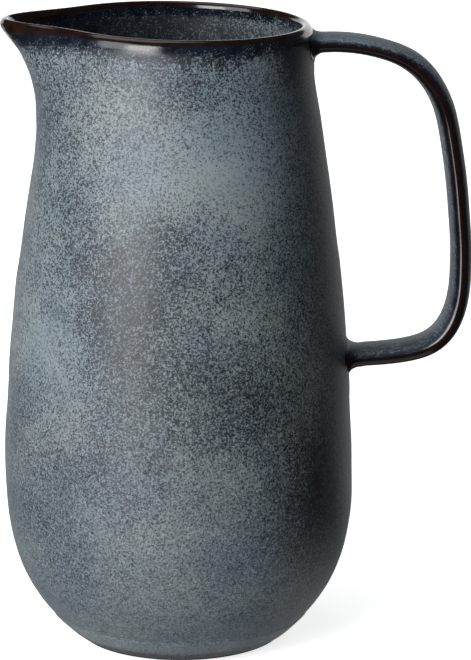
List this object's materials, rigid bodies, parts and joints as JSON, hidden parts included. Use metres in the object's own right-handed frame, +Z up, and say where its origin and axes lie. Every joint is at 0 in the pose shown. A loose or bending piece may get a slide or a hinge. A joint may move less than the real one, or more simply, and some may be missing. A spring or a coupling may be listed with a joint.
{
  "type": "ceramic pitcher",
  "caption": "Tall glazed stoneware pitcher with a rounded belly, narrow neck, pulled beak spout, brown-breaking rim and a strap handle joined at neck and belly",
  "frame": {"origin": "on the ground under the centre of the overall box; the vessel's own axis is the vertical line at x = -0.0219, y = 0", "axes": "+Z up, the spout points to -X and the handle to +X; the pitcher is mirror-symmetric about the XZ plane"},
  "size_m": [0.177, 0.133, 0.2407],
  "materials": {
    "stoneware_clay": "unglazed fired stoneware, matte, fine grained",
    "handle_clay": "unglazed fired stoneware, matte, fine grained",
    "upper_slip": "joining slip under dark blue glaze, glossy",
    "lower_slip": "joining slip under dark blue glaze, glossy",
    "outer_coat": "glossy reactive glaze, pale grey-blue speckle over navy",
    "inner_coat": "glossy reactive glaze, grey-blue speckle over navy",
    "rim_coat": "glossy iron-brown glaze where the coat thins over the lip",
    "handle_coat": "glossy reactive glaze, brown along the strap's edges"
  },
  "bodies": {
    "root": {"stoneware_body": "stoneware_clay", "outer_glaze": "outer_coat", "inner_glaze": "inner_coat", "rim_glaze": "rim_coat", "handle": "handle_clay", "handle_glaze": "handle_coat", "upper_handle_joint": "upper_slip", "lower_handle_joint": "lower_slip"}
  },
  "joints": []
}
